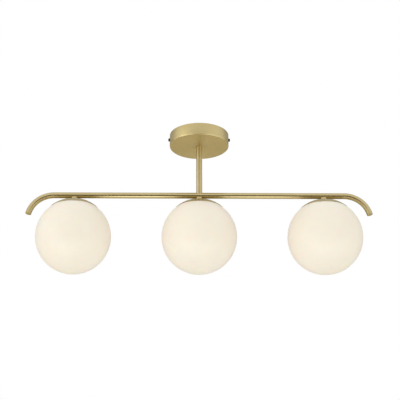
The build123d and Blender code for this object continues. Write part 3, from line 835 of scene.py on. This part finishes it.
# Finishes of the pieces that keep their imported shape
CAD_FINISH = {
    "ceiling_bracket": zinc_steel,
    "cable_bush": black_rubber,
    "earth_screw": plain_brass,
    "clamp_nuts": zinc_steel,
    "stem_nipple": zinc_steel,
    "stem_washer": zinc_steel,
    "stem_nut": plain_brass,
    "terminal_block": ivory_polyamide,
    "terminal_screws": plain_brass,
    "terminal_fixing_screw": zinc_steel,
    "lamp_nipples": zinc_steel,
    "lamp_nuts": plain_brass,
}
for side in SIDES:
    CAD_FINISH[f"gallery_{side}"] = turned_aluminium[side]
    CAD_FINISH[f"seal_{side}"] = white_silicone
    CAD_FINISH[f"holder_cap_{side}"] = black_phenolic
    CAD_FINISH[f"holder_body_{side}"] = black_phenolic
    CAD_FINISH[f"holder_contacts_{side}"] = plain_brass
    CAD_FINISH[f"bulb_glass_{side}"] = bulb_glass
    CAD_FINISH[f"lead_{side}"] = wire_sleeving
for node, material in CAD_FINISH.items():
    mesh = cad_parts[node].data
    mesh.materials.clear()
    mesh.materials.append(material)

# Camera
turn = (
    Matrix.Rotation(CAMERA_YAW, 4, "Z")
    @ Matrix.Rotation(pi / 2 + CAMERA_PITCH, 4, "X")
    @ Matrix.Rotation(CAMERA_ROLL, 4, "Z")
)
spot = Matrix.Rotation(CAMERA_YAW, 4, "Z") @ Vector((CAMERA_SIDE, -CAMERA_DISTANCE, CAMERA_HEIGHT))
camera_data = bpy.data.cameras.new("camera")
camera_data.sensor_width = SENSOR
camera_data.lens = SENSOR * FOCAL_PIXELS / IMAGE_WIDTH
camera = bpy.data.objects.new("camera", camera_data)
bpy.context.scene.collection.objects.link(camera)
camera.matrix_world = Matrix.Translation(spot) @ turn
bpy.context.scene.camera = camera


def soft_light(name, place, size, watts):
    """Hang a square soft white light at a place and turn it to the middle of the tube."""
    data = bpy.data.lights.new(name, "AREA")
    data.shape = "SQUARE"
    data.size = size
    data.energy = watts
    lamp = bpy.data.objects.new(name, data)
    bpy.context.scene.collection.objects.link(lamp)
    lamp.location = place
    lamp.rotation_euler = (Vector((0, 0, BAR_Z)) - Vector(place)).to_track_quat("-Z", "Y").to_euler()
    return lamp


def studio_card(name, place, across, tall, tint, strength=1.0):
    """Stand a card that only reflections see, as a studio does to shape the gloss of metal."""
    bpy.ops.object.select_all(action="DESELECT")
    bpy.ops.mesh.primitive_plane_add(size=1, location=place, rotation=(pi / 2, 0, 0))
    card = bpy.context.active_object
    card.name = name
    card.scale = (across, tall, 1)
    fix_place(card)
    made = bpy.data.materials.new(name)
    made.use_nodes = True
    tree = made.node_tree
    tree.nodes.clear()
    glow = add_node(tree, "Emission", inputs={"Color": colour(tint), "Strength": strength})
    add_node(tree, "OutputMaterial", inputs={"Surface": glow.outputs[0]})
    card.data.materials.append(made)
    for ray in ("camera", "diffuse", "transmission", "volume_scatter", "shadow"):
        setattr(card, f"visible_{ray}", False)


# The side light models the globes from the left, and the low one lifts their undersides
soft_light("side_light", (-2.8, -1.4, 0.2), size=1.4, watts=9)
low_light = soft_light("low_light", (0.0, -1.2, -2.1), size=1.5, watts=6)
low_light.visible_glossy = False

# In the tube, the dark card shows as the line along its middle, and the bright one as the line below that.
# The two cards behind show in the gloss near the outlines of tube, stem and caps.
studio_card("dark_card_in_front", (0, -4, -1.75), across=4, tall=4.0, tint="#5A5650")
studio_card("bright_card_below", (0, -0.8, -1.9), across=6, tall=1.9, tint="#FFFFFF", strength=2.2)
studio_card("grey_card_behind", (0, 3, 2.6), across=16, tall=6.8, tint="#ABA9A5")
studio_card("warm_card_behind", (0, 3, -2.6), across=16, tall=3.6, tint="#D6CDB0")

# Pale floor, far below the light
bpy.ops.object.select_all(action="DESELECT")
bpy.ops.mesh.primitive_plane_add(size=FLOOR_SIZE, location=(0, 0, FLOOR_Z))
floor = bpy.context.active_object
floor.name = "floor"
floor_material, _, floor_shader = new_material("pale_floor")
set_inputs(floor_shader, Base_Color=colour("#F4F3F0"), Roughness=0.8)
floor.data.materials.append(floor_material)

# White surround: what the camera, a reflection or the glass sees is white, and the fill light is softer
world = bpy.data.worlds.new("surround")
bpy.context.scene.world = world
world.use_nodes = True
sky = world.node_tree
sky.nodes.clear()
light_path = add_node(sky, "LightPath")
seen = light_path.outputs["Is Camera Ray"]
for ray in ("Is Glossy Ray", "Is Transmission Ray"):
    seen = add_node(sky, "Math", seen, light_path.outputs[ray], operation="MAXIMUM").outputs[0]
strength = add_node(
    sky, "MapRange", inputs={"Value": seen, "To Min": FILL_STRENGTH, "To Max": 1.0}
).outputs[0]
background = add_node(sky, "Background", inputs={"Color": (1, 1, 1, 1), "Strength": strength})
add_node(sky, "OutputWorld", inputs={"Surface": background.outputs[0]})

bpy.context.scene.view_settings.view_transform = "Standard"
